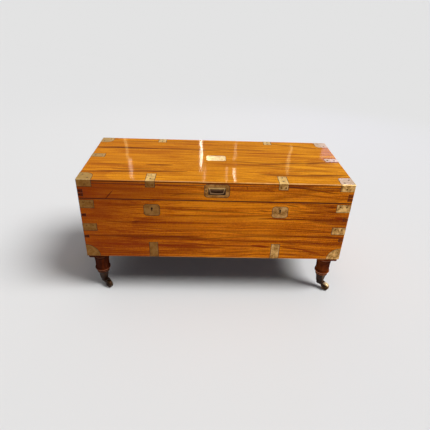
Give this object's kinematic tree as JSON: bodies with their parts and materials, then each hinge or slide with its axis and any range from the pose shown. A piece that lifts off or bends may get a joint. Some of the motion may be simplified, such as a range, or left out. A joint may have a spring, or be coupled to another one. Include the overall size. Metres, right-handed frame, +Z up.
{
  "type": "campaign chest",
  "caption": "Brass-bound camphor-wood campaign chest with a hinged lid, flush handles, box locks and turned legs on castors.",
  "frame": {"origin": "on the floor under the centre of the chest, at the foot of the castors' wheels", "axes": "+Z up, +X along the length to the viewer's right, and the front with the locks faces -Y"},
  "size_m": [1.07, 0.4791, 0.542],
  "materials": {
    "camphor_front": "glossy French polish over golden brown camphor wood",
    "camphor_back": "satin polish over golden brown camphor wood",
    "camphor_end": "glossy French polish over golden brown camphor wood",
    "camphor_top": "glossy French polish over golden camphor wood",
    "camphor_under": "bare sawn camphor wood",
    "brass_mounts": "aged polished brass",
    "brass_plates": "pale polished brass",
    "brass_handles": "aged polished brass",
    "brass_screws": "dark tarnished brass",
    "brass_hinges": "aged brass",
    "brass_locks": "aged brass",
    "dark_legs": "satin dark mahogany polish",
    "castor_brass": "dark bronzed brass"
  },
  "bodies": {
    "case": {"front_board": "camphor_front", "back_board": "camphor_back", "left_end_board": "camphor_end", "right_end_board": "camphor_end", "bottom_board": "camphor_under", "upper_corner_straps": "brass_mounts", "middle_corner_straps": "brass_mounts", "lower_corner_brackets": "brass_mounts", "lower_edge_straps": "brass_mounts", "case_screws": "brass_screws", "left_escutcheon": "brass_plates", "right_escutcheon": "brass_plates", "left_lock_case": "brass_locks", "right_lock_case": "brass_locks", "left_hinge_case_leaf": "brass_hinges", "right_hinge_case_leaf": "brass_hinges", "hinge_pins": "brass_hinges", "left_handle_plate": "brass_handles", "right_handle_plate": "brass_handles", "leg_blocks": "dark_legs", "castor_sockets": "castor_brass", "turned_leg_front_left": "dark_legs", "turned_leg_front_right": "dark_legs", "turned_leg_back_left": "dark_legs", "turned_leg_back_right": "dark_legs"},
    "lid": {"lid_top_board": "camphor_top", "lid_front_rail": "camphor_front", "lid_back_rail": "camphor_back", "lid_left_rail": "camphor_end", "lid_right_rail": "camphor_end", "lid_corner_brackets": "brass_mounts", "lid_front_straps": "brass_mounts", "lid_back_straps": "brass_mounts", "lid_end_straps": "brass_mounts", "lid_screws": "brass_screws", "name_plate": "brass_plates", "front_handle_plate": "brass_handles", "left_lock_link_plate": "brass_locks", "right_lock_link_plate": "brass_locks", "left_hinge_lid_leaf": "brass_hinges", "right_hinge_lid_leaf": "brass_hinges"},
    "front_handle": {"front_handle_bail": "brass_handles"},
    "left_handle": {"left_handle_bail": "brass_handles"},
    "right_handle": {"right_handle_bail": "brass_handles"},
    "left_bolt": {"left_lock_bolt": "brass_locks"},
    "right_bolt": {"right_lock_bolt": "brass_locks"},
    "castor_front_left": {"castor_horn_front_left": "castor_brass", "castor_axle_front_left": "castor_brass"},
    "wheel_front_left": {"castor_wheel_front_left": "castor_brass"},
    "castor_front_right": {"castor_horn_front_right": "castor_brass", "castor_axle_front_right": "castor_brass"},
    "wheel_front_right": {"castor_wheel_front_right": "castor_brass"},
    "castor_back_left": {"castor_horn_back_left": "castor_brass", "castor_axle_back_left": "castor_brass"},
    "wheel_back_left": {"castor_wheel_back_left": "castor_brass"},
    "castor_back_right": {"castor_horn_back_right": "castor_brass", "castor_axle_back_right": "castor_brass"},
    "wheel_back_right": {"castor_wheel_back_right": "castor_brass"}
  },
  "joints": [
    {"name": "lid_hinge", "type": "hinge", "parent": "case", "child": "lid", "pos_m": [0, 0.23915, 0.4605], "axis": [-1, 0, 0], "range_deg": [0, 97]},
    {"name": "front_handle_swing", "type": "hinge", "parent": "lid", "child": "front_handle", "pos_m": [0, -0.2315, 0.515], "axis": [-1, 0, 0], "range_deg": [0, 90]},
    {"name": "left_handle_swing", "type": "hinge", "parent": "case", "child": "left_handle", "pos_m": [-0.5298, 0, 0.3707], "axis": [0, 1, 0], "range_deg": [0, 90]},
    {"name": "right_handle_swing", "type": "hinge", "parent": "case", "child": "right_handle", "pos_m": [0.5298, 0, 0.3707], "axis": [0, -1, 0], "range_deg": [0, 90]},
    {"name": "left_bolt_slide", "type": "slide", "parent": "case", "child": "left_bolt", "axis": [1, 0, 0], "range_m": [0, 0.008]},
    {"name": "right_bolt_slide", "type": "slide", "parent": "case", "child": "right_bolt", "axis": [1, 0, 0], "range_m": [0, 0.008]},
    {"name": "swivel_front_left", "type": "hinge", "parent": "case", "child": "castor_front_left", "pos_m": [-0.489, -0.189, 0.03], "axis": [0, 0, 1], "continuous": true},
    {"name": "roll_front_left", "type": "hinge", "parent": "castor_front_left", "child": "wheel_front_left", "pos_m": [-0.46525, -0.20893, 0.0175], "axis": [0.6428, 0.766, 0], "continuous": true},
    {"name": "swivel_front_right", "type": "hinge", "parent": "case", "child": "castor_front_right", "pos_m": [0.489, -0.189, 0.03], "axis": [0, 0, 1], "continuous": true},
    {"name": "roll_front_right", "type": "hinge", "parent": "castor_front_right", "child": "wheel_front_right", "pos_m": [0.51275, -0.20893, 0.0175], "axis": [0.6428, 0.766, 0], "continuous": true},
    {"name": "swivel_back_left", "type": "hinge", "parent": "case", "child": "castor_back_left", "pos_m": [-0.489, 0.189, 0.03], "axis": [0, 0, 1], "continuous": true},
    {"name": "roll_back_left", "type": "hinge", "parent": "castor_back_left", "child": "wheel_back_left", "pos_m": [-0.46361, 0.20678, 0.0175], "axis": [-0.5736, 0.8192, 0], "continuous": true},
    {"name": "swivel_back_right", "type": "hinge", "parent": "case", "child": "castor_back_right", "pos_m": [0.489, 0.189, 0.03], "axis": [0, 0, 1], "continuous": true},
    {"name": "roll_back_right", "type": "hinge", "parent": "castor_back_right", "child": "wheel_back_right", "pos_m": [0.49858, 0.21848, 0.0175], "axis": [-0.9511, 0.309, 0], "continuous": true}
  ]
}
